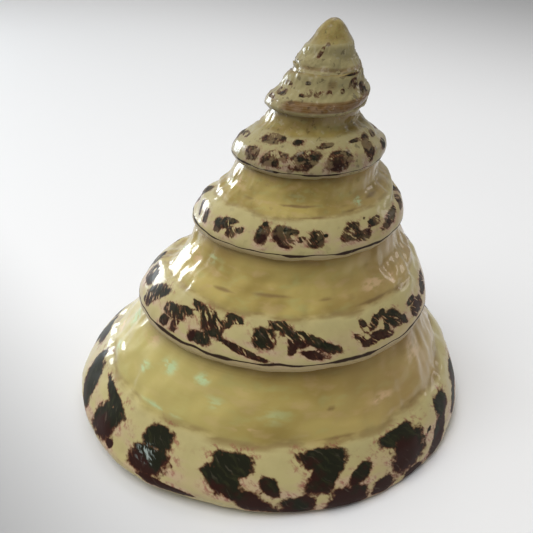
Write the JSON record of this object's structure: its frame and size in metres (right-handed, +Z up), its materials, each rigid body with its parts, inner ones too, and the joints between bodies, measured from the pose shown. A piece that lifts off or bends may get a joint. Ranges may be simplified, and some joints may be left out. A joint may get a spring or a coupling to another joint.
{
  "type": "top shell",
  "caption": "Polished top shell: a right-handed cone of stepped whorls in olive pearl with a blotched cream band, standing on its base with the mouth underneath.",
  "frame": {"origin": "middle of the bounding box, at the level the shell stands on", "axes": "+Z up as the shell stands, -Y towards the viewer of the picture, +X to the viewer's right; the spiral's axis leans 8 degrees to +X"},
  "size_m": [0.0848, 0.086, 0.081],
  "materials": {
    "pearl": "polished"
  },
  "bodies": {
    "root": {"shell": "pearl"}
  },
  "joints": []
}
